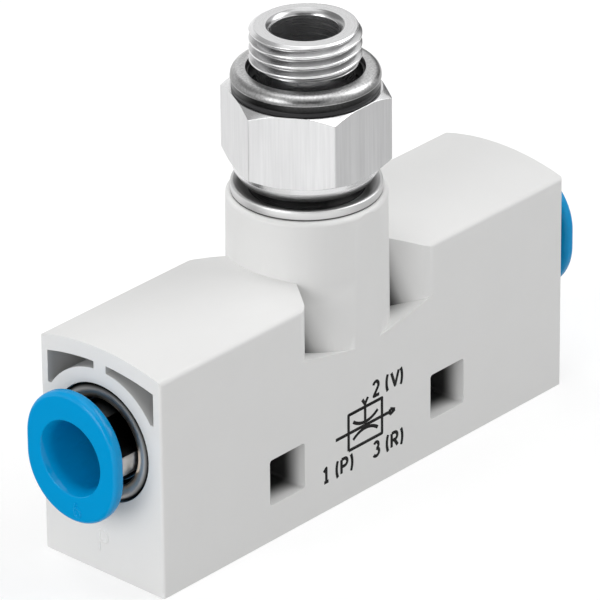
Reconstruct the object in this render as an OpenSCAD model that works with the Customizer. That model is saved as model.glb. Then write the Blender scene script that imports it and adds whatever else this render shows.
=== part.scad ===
// In-line vacuum ejector: a moulded T-shaped housing with a push-in tube connector
// at each end, a jet nozzle and a receiver nozzle between them, and a swivelling
// threaded nipple on the tower that leads to the suction chamber.
// Millimetres. X runs from the supply end (-X) to the exhaust end (+X), Y across
// the narrow width, Z up. The origin is on the base, under the tower's axis.

/* [Housing block] */
// Length of the block between its end faces
block_l = 52; // [48:0.5:70]
// Width of the block, the grid that such ejectors are ganged on
block_w = 14; // [13.6:0.1:18]
// Height of the block's sides, to the corner under the crowned top
side_h = 20.6; // [20:0.1:26]
// Rise of the crowned top above its side edges
crown_rise = 1; // [0.5:0.1:2]
// Rounding along the crowned top's two long edges
top_edge_r = 0.5; // [0.2:0.1:1]
// Rounding of the block's four upright corners
corner_r = 0.3; // [0.2:0.1:1]
// Height of the tube bore's axis above the base
bore_z = 12.6; // [12:0.1:15]

/* [Waist pockets beside the tower] */
// Distance from the tower's axis to where a pocket's wall meets the side face
waist_x = 7.9; // [7.5:0.1:9]
// Angle of a pocket's wall to the side face, in plan
waist_angle = 55; // [45:1:65]
// Rounding of the upright edge between a pocket's wall and the side face
waist_edge_r = 1.5; // [0.5:0.1:2.5]
// Height of a pocket's floor at that edge
waist_floor_z = 15.6; // [15:0.1:19]
// Fall of the floor towards the tower, per millimetre along X and along Y
waist_floor_fall = 0.2; // [0:0.05:0.3]

/* [Core windows in the end faces] */
// Depth of the windows
window_depth = 9; // [4:0.5:12]
// Wall left over the windows, under the crowned top
window_roof = 1.45; // [1:0.05:2]
// Wall left between a window and the side face
window_side = 0.85; // [0.7:0.05:1.5]
// Web left between the two windows of one end
window_web = 1.4; // [1:0.1:2]
// Ring of wall left round the tube socket
socket_wall = 1.4; // [1:0.05:1.4]
// Height of the windows' feet above the bore's axis
window_foot = 3.7; // [2:0.1:5]

/* [Mounting holes through the block] */
// Distance of each hole's axis from the tower's axis
hole_x = 10.42; // [9.5:0.01:14]
// Height of the holes' centre above the base
hole_z = 5.65; // [4:0.05:6.5]
// Width of the holes along X
hole_w = 4.45; // [4.3:0.05:5]
// Height of the holes
hole_h = 4.4; // [4.2:0.05:4.6]
// Rounding of the holes' inner corners
hole_corner_r = 0.3; // [0.1:0.1:0.8]

/* [Tube connectors] */
// Outer diameter of the tube
tube_d = 6; // [5:0.5:6.5]
// Clearance on the radius between the tube and its seat
tube_clearance = 0.05; // [0.02:0.01:0.1]
// Length of the tube's seat behind the seal
tube_seat_l = 5; // [3:0.5:6]
// Radius of the socket that holds a connector's pieces
socket_r = 5.46; // [5.4:0.02:5.7]
// Clearance on the radius of a piece pressed into the socket
press_gap = 0.02; // [0.01:0.01:0.05]
// Chamfer at the socket's mouth
socket_chamfer = 0.05; // [0.05:0.05:0.3]

/* [Release rings] */
// Clearance on the radius between the tube and the ring's bore
ring_clearance = 0.12; // [0.08:0.01:0.2]
// Widening of that bore at its mouth, on the radius
lead_in_flare = 0.23; // [0.1:0.01:0.4]
// Half of the oval flange's width, across the block
flange_half_w = 5.25; // [5:0.05:6.4]
// Extra height of the oval flange over its width, each way
flange_stretch = 0.8; // [0:0.05:1]
// Thickness of the flange
flange_t = 1.3; // [1.2:0.1:2]
// Rounding of the flange's rim
flange_rim_r = 0.45; // [0.2:0.05:0.6]
// Gap between the end face and the flange's back, at rest
flange_gap = 2.6; // [1.8:0.1:3]
// Wall of the ring's shank, inside the collet
shank_wall = 0.33; // [0.25:0.01:0.45]
// Length of the shank behind the flange
shank_l = 4.7; // [3.6:0.1:4.9]
// Length of the lead-in cone at the mouth
lead_in = 0.9; // [0.5:0.1:1.2]

/* [Collets] */
// Wall of the collet's cylinder
collet_wall = 0.3; // [0.2:0.02:0.4]
// Number of raised legs on it that carry the release ring
collet_legs = 4; // [3:1:6]
// Width of each of these legs round the axis, in degrees
collet_leg_angle = 32; // [20:1:45]
// Turn of the first leg from straight up, in degrees
collet_turn = 10; // [0:1:90]
// Depth of the cylinder's surface below the legs, between them
collet_relief = 0.12; // [0.05:0.01:0.2]
// Depth of the full band between the legs and the claws
collet_band_z = 1; // [0.6:0.1:2]
// Length of that full band
collet_band_l = 1.5; // [1:0.1:2]
// Number of gripping claws
claw_count = 8; // [4:1:12]
// Width of the slots between the claws
claw_slot_w = 0.5; // [0.3:0.05:0.8]
// Length of the claws behind the band
claw_l = 2.3; // [2.2:0.1:2.5]
// Half of the angle of the wedge on the claws' heads, and of the sleeve's cone
wedge_angle = 32; // [25:1:40]
// Radius of the claws' wedge-shaped heads
claw_head_r = 4.45; // [4.2:0.05:4.7]
// Length of the land at the end of those heads, and of the teeth on the tube
claw_land_l = 0.5; // [0.3:0.05:0.6]
// Length of the slope from the claws' inside to their teeth
tooth_slope_l = 0.4; // [0.3:0.05:0.6]
// Chamfer behind the teeth
tooth_chamfer = 0.15; // [0.05:0.05:0.2]

/* [Retaining sleeves] */
// Radius of the sleeve's mouth, round the collet
sleeve_mouth_r = 3.95; // [3.9:0.01:4.1]
// Wall of the sleeve's tube
sleeve_wall = 0.45; // [0.3:0.05:0.6]
// Depth at which the sleeve's mouth opens into the cone that the claws wedge in
sleeve_cam_z = 3.2; // [3:0.1:3.6]
// Length of the sleeve
sleeve_l = 6.6; // [6.4:0.1:7]
// How far the rolled mouth stands out of the end face
sleeve_proud = 0.1; // [0:0.05:0.3]

/* [Backing rings and tube seals] */
// Length of the backing ring behind the sleeve
backing_l = 1.2; // [0.8:0.1:1.6]
// Clearance on the radius between the tube and the backing ring
backing_clearance = 0.12; // [0.05:0.01:0.2]
// Chamfer at the backing ring's mouth
backing_lead = 0.5; // [0.2:0.1:0.6]
// Length of the tube seal
tube_seal_l = 2.2; // [1.6:0.1:2.6]
// Clearance between neighbours that are stacked along a bore
stack_gap = 0.02; // [0.01:0.01:0.05]

/* [Jet and receiver nozzles] */
// Radius of the bore that the nozzles are pressed into
nozzle_bore_r = 2.7; // [2.5:0.05:2.9]
// Distance of the nozzles' seats from the tower's axis
nozzle_seat_x = 3.4; // [3.2:0.1:4]
// Length of each nozzle's body behind its seat
nozzle_body_l = 7.2; // [6:0.1:7.5]
// Radius of the clearance bore in front of the seats
nose_bore_r = 2.05; // [1.9:0.05:2.2]
// Clearance on the radius of the nozzles' noses in that bore
nose_gap = 0.05; // [0.02:0.01:0.1]
// Length of the full nose in front of a seat, before its cone
nose_land_l = 0.6; // [0.3:0.1:1]
// Gap between the two nozzles, across the suction chamber
nozzle_gap = 1.8; // [1:0.1:2.6]
// Diameter of the jet's throat
jet_throat_d = 0.95; // [0.45:0.05:1.4]
// Diameter at the jet's outlet
jet_outlet_d = 1.3; // [1:0.05:1.6]
// Wall round the jet's outlet
jet_lip = 0.45; // [0.2:0.05:0.6]
// Length of the jet's throat
jet_throat_l = 0.7; // [0.4:0.1:1]
// Length of the cone that leads into the jet's throat
jet_cone_l = 1.7; // [1:0.1:2.5]
// Diameter of the jet's inlet bore
jet_inlet_d = 2.6; // [2:0.1:3]
// Diameter of the funnel at the jet's inlet
jet_funnel_d = 4.2; // [3:0.1:4.4]
// Length of that funnel
jet_funnel_l = 1; // [0.5:0.1:1.5]
// Diameter of the receiver's throat
receiver_throat_d = 1.7; // [1:0.1:2]
// Diameter at the receiver's mouth
receiver_mouth_d = 3; // [2.4:0.1:3.2]
// Diameter at the receiver's outlet
receiver_outlet_d = 3.8; // [3:0.1:4]
// Wall round the receiver's mouth
receiver_lip = 0.2; // [0.15:0.05:0.4]
// Length of the receiver's throat
receiver_throat_l = 1.6; // [1:0.1:3]
// Chamfer at the nozzles' outer ends
nozzle_chamfer = 0.2; // [0.1:0.05:0.4]
// Side play of an O-ring in its groove
groove_play = 0.1; // [0.05:0.01:0.15]
// Section diameter of the nozzles' O-rings
nozzle_ring_d = 0.8; // [0.6:0.05:0.9]

/* [Tower] */
// Radius of the tower at its top
tower_r = 7.05; // [6.9:0.01:7.4]
// Growth of that radius down to the waist pockets, the moulding draft
tower_draft = 0.15; // [0:0.05:0.3]
// Height of the tower's top above the base
tower_z = 27; // [26.5:0.1:34]
// Rounding of the tower's top edge
tower_edge_r = 0.45; // [0.2:0.05:0.5]
// Radius of the counterbore that holds the insert ring
tower_bore_r = 6; // [5.9:0.05:6.1]
// Height of the shoulder that the nipple's stem stands on
shoulder_z = 21.5; // [21:0.1:22]
// Height of the floor of the stem's socket
stem_socket_z = 17.4; // [17:0.1:18]
// Radius of the suction passage between the socket and the nozzles
passage_r = 2.6; // [2:0.1:2.8]

/* [Insert ring in the tower] */
// Outer radius of the ring's rim on the tower's top
rim_r = 6.6; // [6.3:0.05:6.7]
// Height of the rim above the tower's top
rim_t = 0.85; // [0.5:0.05:1.2]
// Length of the ring's skirt down in the tower
skirt_l = 3.6; // [3:0.1:3.8]
// Radius at the top of the ring's dished mouth
dish_r = 6.35; // [6:0.05:6.45]
// Depth of the dish
dish_depth = 1.5; // [0.8:0.1:1.8]
// Lead-in at the foot of the skirt
skirt_lead = 0.25; // [0.1:0.05:0.4]
// Chamfer on the rim's outer edge
rim_chamfer = 0.1; // [0.05:0.05:0.3]

/* [Swivel nipple] */
// Radius of the stem in the insert ring
stem_r = 5.05; // [4.95:0.01:5.1]
// Running clearance on the radius of the stem
stem_clearance = 0.05; // [0.02:0.01:0.1]
// Gap between the stem's foot and the floor of its socket
stem_foot_gap = 0.4; // [0.2:0.1:0.8]
// Radius of the stem's lower end, in its socket
stem_foot_r = 4.55; // [4.4:0.05:4.6]
// Radius of the through bore
nipple_bore_r = 2.95; // [2.5:0.05:3]
// Radius of the countersink at the thread's end
countersink_r = 3.4; // [3:0.05:3.7]
// Radius of the collar under the hexagon
collar_r = 6.4; // [6:0.05:6.45]
// Radius of the collar's conical underside at its foot
collar_foot_r = 5.85; // [5.4:0.05:6]
// Gap between the tower's top and the underside of the collar
collar_gap = 1.45; // [1:0.05:2]
// Height of the collar
collar_t = 1.45; // [1:0.05:2.4]
// Height of the collar's straight part, above the cone
collar_land = 0.5; // [0.2:0.05:0.8]
// Chamfer on the turned edges of the stem and the undercut
turned_chamfer = 0.3; // [0.1:0.05:0.4]
// Width across the flats of the hexagon
hex_af = 13; // [12:0.5:15]
// Height of the hexagon
hex_h = 6.75; // [4:0.05:8]
// Rest angle of the hexagon about the tower's axis, in degrees
hex_turn = 1.25; // [0:0.25:60]
// Radius of the flat inside the hexagon's end chamfers
hex_face_r = 6.6; // [5.8:0.05:7]
// Angle of those chamfers
hex_chamfer_angle = 30; // [15:1:35]

/* [Stem seal and retaining clip] */
// Section diameter of the stem's O-ring
stem_ring_d = 0.95; // [0.8:0.05:1]
// Height of the O-ring's groove above the foot of the stem
stem_groove_z = 1.1; // [0.9:0.1:1.6]
// Thickness of the retaining clip
clip_t = 0.7; // [0.5:0.05:0.8]
// Radius of the clip's groove in the stem
clip_groove_r = 4.4; // [4.2:0.05:4.6]
// Outer radius of the clip
clip_r = 5.75; // [5.4:0.05:5.85]
// Angle of the gap in the clip, in degrees
clip_gap_angle = 40; // [20:1:90]

/* [Pipe thread] */
// Outer diameter of the pipe thread
thread_d = 9.728; // [9.6:0.001:9.8]
// Length of the thread's cylinder
thread_l = 2.8; // [2.4:0.1:8]
// Length of the chamfer at the thread's end
thread_chamfer = 0.4; // [0.3:0.05:0.6]
// Radius of the undercut below the thread
undercut_r = 4.25; // [4:0.05:4.4]
// Length of the undercut, from the hexagon's face
undercut_l = 2.6; // [2.2:0.1:3.6]

/* [Bonded thread seal] */
// Outer radius of the metal carrier
carrier_r = 6.5; // [6.3:0.05:6.7]
// Inner radius of the metal carrier
carrier_bore_r = 5.15; // [5.05:0.05:5.3]
// Rounding of the carrier's shoulder
carrier_shoulder_r = 0.75; // [0.3:0.05:1]
// Depth of the machined waist below the shoulder
carrier_waist = 0.06; // [0:0.02:0.2]
// Length of the bead between the shoulder and the waist
carrier_bead_l = 0.1; // [0.05:0.05:0.6]
// Height of the carrier's top above the hexagon's face
carrier_top = 1.92; // [1.6:0.01:2.6]
// Thickness of the rubber foot under the carrier
rubber_foot_t = 0.45; // [0.3:0.05:0.7]
// Inset of that foot from the carrier's outer face
rubber_inset = 0.08; // [0.05:0.01:0.5]
// Depth of the rubber lining below the carrier's top
rubber_recess = 0.45; // [0.1:0.05:0.8]
// Inner radius of the rubber, round the undercut
rubber_bore_r = 4.9; // [4.88:0.01:4.95]

/* [Hidden] */

// Fineness of round forms, and a reach past a face for clean cuts
$fn = 96;
eps = 0.01;
past = 1;

// Colours
housing_grey = [0.87, 0.87, 0.86];
ring_blue = [0.0, 0.56, 0.82];
steel_grey = [0.74, 0.75, 0.76];
nickel = [0.8, 0.79, 0.76];
alloy = [0.88, 0.89, 0.9];
brass_yellow = [0.8, 0.66, 0.35];
rubber_black = [0.08, 0.08, 0.09];
seal_metal = [0.62, 0.63, 0.64];

// Crowned top of the block
half_w = block_w / 2;
crown_r = (half_w * half_w + crown_rise * crown_rise) / (2 * crown_rise);
crown_cz = side_h + crown_rise - crown_r;
// Centre of the top edge's rounding, which touches the side and the crown
edge_y = half_w - top_edge_r;
edge_z = crown_cz + sqrt(pow(crown_r - top_edge_r, 2) - pow(edge_y, 2));
// Where that rounding meets the crown
crown_touch_y = edge_y * crown_r / (crown_r - top_edge_r);

// Depths inward from an end face
sleeve_end = sleeve_l;
backing_start = sleeve_end + stack_gap;
backing_end = backing_start + backing_l;
seal_start = backing_end + stack_gap;
seal_end = seal_start + tube_seal_l;
socket_depth = seal_end + stack_gap;
seat_end = socket_depth + tube_seat_l;

// Radii round the tube
seat_r = tube_d / 2 + tube_clearance;
ring_bore_r = tube_d / 2 + ring_clearance;
shank_r = ring_bore_r + shank_wall;
collet_in_r = shank_r + press_gap;
collet_r = collet_in_r + collet_wall;
lead_in_r = ring_bore_r + lead_in_flare;
press_r = socket_r - press_gap;

// Nozzles
nozzle_r = nozzle_bore_r - press_gap;
nose_r = nose_bore_r - nose_gap;
nozzle_tip_x = nozzle_gap / 2;
nozzle_end_x = nozzle_seat_x + nozzle_body_l;
ring_groove_w = nozzle_ring_d + 2 * groove_play;
ring_groove_x = nozzle_seat_x + nozzle_body_l / 2;
ring_groove_r = nozzle_bore_r - nozzle_ring_d;

// Heights on the tower's axis
stem_rest_gap = 0.05;
step_z = shoulder_z + stem_rest_gap;
foot_z = stem_socket_z + stem_foot_gap;
skirt_z = tower_z - skirt_l;
clip_play = 0.07;
clip_z = skirt_z - clip_play - clip_t;
stem_groove_bottom_r = stem_foot_r + stem_clearance - stem_ring_d;
stem_groove_w = stem_ring_d + 2 * groove_play;
stem_ring_z = foot_z + stem_groove_z + stem_groove_w / 2;
collar_z = tower_z + collar_gap;
hex_z = collar_z + collar_t;
face_z = hex_z + hex_h;
thread_z = face_z + undercut_l;
nipple_top_z = thread_z + thread_l + thread_chamfer;
thread_r = thread_d / 2;
rubber_r = carrier_r - rubber_inset;

// ---- frames ----------------------------------------------------------------

// Local Z runs inward from the supply end's face, on the bore's axis
module at_supply() {
    translate([-block_l / 2, 0, bore_z]) rotate([0, 90, 0]) children();
}

// Local Z runs inward from the exhaust end's face, on the bore's axis
module at_exhaust() {
    translate([block_l / 2, 0, bore_z]) rotate([0, -90, 0]) mirror([1, 0, 0]) children();
}

// Local Z runs from the tower's axis towards the supply end, on the bore's axis
module towards_supply() {
    translate([0, 0, bore_z]) rotate([0, -90, 0]) children();
}

// Local Z runs from the tower's axis towards the exhaust end, on the bore's axis
module towards_exhaust() {
    translate([0, 0, bore_z]) rotate([0, 90, 0]) children();
}

// The same cut in all four quarters round the tower
module in_four_quarters() {
    for (sx = [0, 1], sy = [0, 1]) {
        mirror([sx, 0, 0]) mirror([0, sy, 0]) children();
    }
}

// Square-cornered ring between two radii and two heights, as a profile
module band(r_in, r_out, z_low, z_high) {
    translate([r_in, z_low]) square([r_out - r_in, z_high - z_low]);
}

// Rectangle with four round corners, centred
module round_rectangle(w, h, r) {
    square([w - 2 * r, h], center = true);
    square([w, h - 2 * r], center = true);
    for (x = [-1, 1], y = [-1, 1]) {
        translate([x * (w / 2 - r), y * (h / 2 - r)]) circle(r);
    }
}

// ---- housing ---------------------------------------------------------------

// Cross-section of the block, with the crowned top
module block_section() {
    translate([-half_w, 0]) square([block_w, edge_z]);
    intersection() {
        translate([0, crown_cz]) circle(crown_r, $fn = 360);
        translate([-crown_touch_y, 0]) square([2 * crown_touch_y, 2 * side_h]);
    }
    for (side = [-1, 1]) {
        translate([side * edge_y, edge_z]) circle(top_edge_r);
    }
}

module block() {
    intersection() {
        rotate([90, 0, 90]) linear_extrude(block_l, center = true) block_section();
        linear_extrude(2 * side_h) round_rectangle(block_l, block_w, corner_r);
    }
}

// Plan of a waist pocket on the +X, +Y side: a straight wall that leaves the tower,
// rounded where it runs out on the side face
module waist_plan() {
    run = [cos(waist_angle), sin(waist_angle)];
    tangent_l = waist_edge_r * tan(waist_angle / 2);
    on_wall = [waist_x, half_w] - tangent_l * run;
    on_side = [waist_x + tangent_l, half_w];
    wall_l = min(half_w / run[1], waist_x / run[0]);
    inner = [waist_x, half_w] - wall_l * run;
    polygon([[-eps, inner[1]], inner, [waist_x, half_w], [waist_x, half_w + past], [-eps, half_w + past]]);
    difference() {
        polygon([
            on_wall, on_side, on_side + [0, past], [waist_x - eps, half_w + past], [waist_x - eps, half_w],
        ]);
        translate([on_side[0], half_w - waist_edge_r]) circle(waist_edge_r);
    }
}

// Everything above the sloping floor of that pocket
module above_waist_floor() {
    reach = 3 * side_h;
    tilt_x = asin(waist_floor_fall / norm([waist_floor_fall, waist_floor_fall, 1]));
    tilt_y = -atan(waist_floor_fall);
    translate([waist_x, half_w, waist_floor_z])
        rotate([tilt_x, tilt_y, 0])
            translate([-reach / 2, -reach / 2, 0]) cube(reach);
}

module waist_pocket() {
    intersection() {
        linear_extrude(2 * side_h) waist_plan();
        above_waist_floor();
    }
}

// Tower: a drafted round post, kept flush with the block's side faces
module tower() {
    low_z = waist_floor_z / 2;
    intersection() {
        union() {
            translate([0, 0, low_z])
                cylinder(h = tower_z - tower_edge_r - low_z, r1 = tower_r + tower_draft, r2 = tower_r);
            rotate_extrude() {
                band(0, tower_r - tower_edge_r, tower_z - tower_edge_r - eps, tower_z);
                translate([tower_r - tower_edge_r, tower_z - tower_edge_r]) circle(tower_edge_r);
            }
        }
        translate([-block_l / 2, -half_w, 0]) cube([block_l, block_w, tower_z + past]);
    }
}

// One core window of an end face, on its +Y side
module window_outline() {
    difference() {
        intersection() {
            translate([0, crown_cz]) circle(crown_r - window_roof, $fn = 360);
            translate([window_web / 2, bore_z + window_foot])
                square([half_w - window_side - window_web / 2, side_h]);
        }
        translate([0, bore_z]) circle(socket_r + socket_wall);
    }
}

module end_windows() {
    for (end = [0, 1], side = [0, 1]) {
        mirror([end, 0, 0]) mirror([0, side, 0])
            translate([-block_l / 2 - past, 0, 0]) rotate([90, 0, 90])
                linear_extrude(window_depth + past) window_outline();
    }
}

// Socket, tube seat and chamfered mouth of one connector, along local Z
module connector_cavity() {
    translate([0, 0, -past]) cylinder(h = socket_depth + past, r = socket_r);
    translate([0, 0, -eps]) cylinder(h = socket_chamfer + eps, r1 = socket_r + socket_chamfer, r2 = socket_r);
    cylinder(h = seat_end, r = seat_r);
}

// Bores that carry the nozzles, with a seat on each side of the suction chamber
module nozzle_cavity() {
    for (end = [0, 1]) {
        mirror([end, 0, 0]) towards_exhaust() {
            translate([0, 0, nozzle_seat_x])
                cylinder(h = block_l / 2 - seat_end - nozzle_seat_x + eps, r = nozzle_bore_r);
            cylinder(h = nozzle_seat_x + eps, r = nose_bore_r);
        }
    }
}

// Suction passage, stem socket and counterbore, on the tower's axis
module tower_cavity() {
    passage_z = bore_z - nose_bore_r;
    translate([0, 0, passage_z]) cylinder(h = stem_socket_z - passage_z + eps, r = passage_r);
    translate([0, 0, stem_socket_z]) cylinder(h = tower_z, r = stem_foot_r + stem_clearance);
    translate([0, 0, shoulder_z]) cylinder(h = tower_z, r = tower_bore_r);
}

// Square mounting hole
module mounting_hole() {
    rotate([90, 0, 0])
        linear_extrude(block_w + 2 * past, center = true) round_rectangle(hole_w, hole_h, hole_corner_r);
}

module housing() {
    color(housing_grey)
    difference() {
        union() {
            difference() {
                block();
                in_four_quarters() waist_pocket();
            }
            tower();
        }
        at_supply() connector_cavity();
        at_exhaust() connector_cavity();
        nozzle_cavity();
        tower_cavity();
        end_windows();
        for (side = [-1, 1]) {
            translate([side * hole_x, 0, hole_z]) mounting_hole();
        }
    }
}

// ---- push-in connectors ----------------------------------------------------

// Section of the flange, with a rounded rim
module flange_section() {
    round_rectangle(2 * flange_half_w, flange_t, flange_rim_r);
}

// Oval flange: two discs and the straight piece between them
module flange() {
    for (side = [-1, 1]) {
        translate([side * flange_stretch, 0, 0])
            rotate_extrude() intersection() {
                flange_section();
                translate([0, -flange_t]) square([2 * flange_half_w, 2 * flange_t]);
            }
    }
    rotate([90, 0, 90]) linear_extrude(2 * flange_stretch, center = true) flange_section();
}

// Release ring: the flange that a finger presses, and the shank inside the collet
module release_ring() {
    face_z = -flange_gap - flange_t;
    end_z = shank_l - flange_gap;
    color(ring_blue)
    difference() {
        union() {
            translate([0, 0, face_z + flange_t / 2]) flange();
            translate([0, 0, -flange_gap - eps]) cylinder(h = shank_l + eps, r = shank_r);
        }
        translate([0, 0, face_z - past]) cylinder(h = 2 * past + flange_t + shank_l, r = ring_bore_r);
        translate([0, 0, face_z - eps]) cylinder(h = lead_in, r1 = lead_in_r, r2 = ring_bore_r);
        translate([0, 0, end_z - shank_wall / 2])
            cylinder(h = shank_wall / 2 + eps, r1 = ring_bore_r, r2 = ring_bore_r + shank_wall / 2);
    }
}

// Collet: a thin cylinder with raised legs that carry the release ring, a full band,
// and claws whose wedge-shaped heads ride in the sleeve's cone
module collet() {
    leg_z = -flange_gap + stack_gap;
    band_end = collet_band_z + collet_band_l;
    claw_end = band_end + claw_l;
    wedge_l = (claw_head_r - collet_r) / tan(wedge_angle);
    head_z = claw_end - claw_land_l;
    color(steel_grey) {
        rotate_extrude() {
            band(collet_in_r, collet_r - collet_relief, leg_z, collet_band_z + eps);
            band(collet_in_r, collet_r, collet_band_z, band_end);
        }
        for (i = [0 : collet_legs - 1]) {
            rotate([0, 0, 180 + collet_turn - collet_leg_angle / 2 + i * 360 / collet_legs])
                rotate_extrude(angle = collet_leg_angle)
                    band(collet_in_r, collet_r, leg_z, collet_band_z + eps);
        }
        difference() {
            rotate_extrude() polygon([
                [collet_in_r, band_end - eps], [collet_r, band_end - eps], [collet_r, head_z - wedge_l],
                [claw_head_r, head_z], [claw_head_r, claw_end], [ring_bore_r + tooth_chamfer, claw_end],
                [ring_bore_r, claw_end - tooth_chamfer], [ring_bore_r, head_z],
                [collet_in_r, head_z - tooth_slope_l],
            ]);
            for (i = [0 : claw_count - 1]) {
                rotate([0, 0, i * 360 / claw_count])
                    translate([0, -claw_slot_w / 2, band_end])
                        cube([2 * claw_head_r, claw_slot_w, claw_l + past]);
            }
        }
    }
}

// Retaining sleeve: a turned cup with a rolled mouth and an inner cone
module sleeve() {
    roll_r = (press_r - sleeve_mouth_r) / 2;
    roll_z = roll_r - sleeve_proud;
    in_r = press_r - sleeve_wall;
    cone_l = (in_r - sleeve_mouth_r) / tan(wedge_angle);
    color(nickel)
    rotate_extrude() {
        translate([sleeve_mouth_r + roll_r, roll_z]) circle(roll_r);
        polygon([
            [sleeve_mouth_r, roll_z], [press_r, roll_z], [press_r, sleeve_end], [in_r, sleeve_end],
            [in_r, sleeve_cam_z + cone_l], [sleeve_mouth_r, sleeve_cam_z],
        ]);
    }
}

// Backing ring: carries the sleeve and keeps the seal in its chamber
module backing_ring() {
    in_r = tube_d / 2 + backing_clearance;
    color(brass_yellow)
    rotate_extrude() polygon([
        [in_r + backing_lead, backing_start], [press_r, backing_start], [press_r, backing_end],
        [in_r, backing_end], [in_r, backing_start + backing_lead],
    ]);
}

// Tube seal: a moulded ring with a bead that closes on the tube
module tube_seal() {
    bead_r = tube_seal_l / 4;
    in_r = seat_r + press_gap;
    mid_z = (seal_start + seal_end) / 2;
    color(rubber_black)
    rotate_extrude() {
        translate([in_r + bead_r, mid_z]) circle(bead_r);
        band(in_r + bead_r, in_r + 2 * bead_r, mid_z - bead_r, mid_z + bead_r);
        band(in_r + 2 * bead_r - eps, press_r, seal_start, seal_end);
    }
}

module supply_release_ring() { at_supply() release_ring(); }
module exhaust_release_ring() { at_exhaust() release_ring(); }
module supply_collet() { at_supply() collet(); }
module exhaust_collet() { at_exhaust() collet(); }
module supply_sleeve() { at_supply() sleeve(); }
module exhaust_sleeve() { at_exhaust() sleeve(); }
module supply_backing_ring() { at_supply() backing_ring(); }
module exhaust_backing_ring() { at_exhaust() backing_ring(); }
module supply_tube_seal() { at_supply() tube_seal(); }
module exhaust_tube_seal() { at_exhaust() tube_seal(); }

// ---- nozzles ---------------------------------------------------------------

// Outside of a nozzle: nose, seated body and the groove for its O-ring
module nozzle_blank(tip_r) {
    difference() {
        rotate_extrude() polygon([
            [0, nozzle_tip_x], [tip_r, nozzle_tip_x], [nose_r, nozzle_seat_x - nose_land_l],
            [nose_r, nozzle_seat_x], [nozzle_r, nozzle_seat_x], [nozzle_r, nozzle_end_x - nozzle_chamfer],
            [nozzle_r - nozzle_chamfer, nozzle_end_x], [0, nozzle_end_x],
        ]);
        rotate_extrude() band(ring_groove_r, nozzle_r + past,
            ring_groove_x - ring_groove_w / 2, ring_groove_x + ring_groove_w / 2);
    }
}

// Jet nozzle: the supply air narrows to the throat, then widens to the jet's outlet
module jet_nozzle() {
    throat_r = jet_throat_d / 2;
    outlet_r = jet_outlet_d / 2;
    inlet_r = jet_inlet_d / 2;
    funnel_r = jet_funnel_d / 2;
    throat_x = nozzle_seat_x - jet_throat_l / 2;
    cone_x = nozzle_seat_x + jet_throat_l / 2;
    color(brass_yellow)
    towards_supply() difference() {
        nozzle_blank(outlet_r + jet_lip);
        rotate_extrude() polygon([
            [0, nozzle_tip_x - past], [outlet_r, nozzle_tip_x - past], [outlet_r, nozzle_tip_x],
            [throat_r, throat_x], [throat_r, cone_x], [inlet_r, cone_x + jet_cone_l],
            [inlet_r, nozzle_end_x - jet_funnel_l], [funnel_r, nozzle_end_x], [funnel_r, nozzle_end_x + past],
            [0, nozzle_end_x + past],
        ]);
    }
}

// Receiver nozzle: catches the jet with the drawn-in air and slows both to the exhaust
module receiver_nozzle() {
    throat_r = receiver_throat_d / 2;
    mouth_r = receiver_mouth_d / 2;
    outlet_r = receiver_outlet_d / 2;
    throat_x = nozzle_seat_x - nose_land_l;
    color(alloy)
    towards_exhaust() difference() {
        nozzle_blank(mouth_r + receiver_lip);
        rotate_extrude() polygon([
            [0, nozzle_tip_x - past], [mouth_r, nozzle_tip_x - past], [mouth_r, nozzle_tip_x],
            [throat_r, throat_x], [throat_r, throat_x + receiver_throat_l], [outlet_r, nozzle_end_x],
            [outlet_r, nozzle_end_x + past], [0, nozzle_end_x + past],
        ]);
    }
}

// O-ring in a nozzle's groove
module nozzle_ring() {
    color(rubber_black)
    translate([0, 0, ring_groove_x]) rotate_extrude()
        translate([nozzle_bore_r - nozzle_ring_d / 2, 0]) circle(nozzle_ring_d / 2 - press_gap / 2);
}

module jet_nozzle_seal() { towards_supply() nozzle_ring(); }
module receiver_nozzle_seal() { towards_exhaust() nozzle_ring(); }

// ---- tower and nipple ------------------------------------------------------

// Insert ring: pressed in the tower, it guides the stem and stops the clip
module tower_insert_ring() {
    bore_r = stem_r + stem_clearance;
    skirt_r = tower_bore_r - press_gap;
    rim_low = tower_z + stack_gap;
    rim_top = rim_low + rim_t;
    color(alloy)
    rotate_extrude() polygon([
        [bore_r, skirt_z], [skirt_r - skirt_lead, skirt_z], [skirt_r, skirt_z + skirt_lead],
        [skirt_r, rim_low], [rim_r, rim_low], [rim_r, rim_top - rim_chamfer],
        [rim_r - rim_chamfer, rim_top], [dish_r, rim_top], [bore_r, rim_top - dish_depth],
    ]);
}

// Grooved stem, collar, undercut and thread of the nipple, as one turned profile
module nipple_turning() {
    rotate_extrude() difference() {
        polygon([
            [0, foot_z], [stem_foot_r - turned_chamfer, foot_z], [stem_foot_r, foot_z + turned_chamfer],
            [stem_foot_r, step_z], [stem_r, step_z], [stem_r, collar_z],
            [collar_foot_r, collar_z], [collar_r, hex_z - collar_land],
            [collar_r, hex_z + eps], [undercut_r, hex_z + eps], [undercut_r, thread_z - turned_chamfer],
            [thread_r, thread_z], [thread_r, thread_z + thread_l], [thread_r - thread_chamfer, nipple_top_z],
            [0, nipple_top_z],
        ]);
        band(stem_groove_bottom_r, stem_r, foot_z + stem_groove_z, foot_z + stem_groove_z + stem_groove_w);
        band(clip_groove_r, stem_r + past, clip_z - clip_play, clip_z + clip_t + clip_play);
    }
}

// Hexagon with chamfered corners at both ends
module hexagon() {
    wide = hex_face_r + hex_h / 2 / tan(hex_chamfer_angle);
    intersection() {
        translate([0, 0, hex_z]) rotate([0, 0, hex_turn]) cylinder(h = hex_h, d = hex_af / cos(30), $fn = 6);
        rotate_extrude() polygon([
            [0, hex_z], [hex_face_r, hex_z], [wide, hex_z + hex_h / 2], [hex_face_r, face_z], [0, face_z],
        ]);
    }
}

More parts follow.
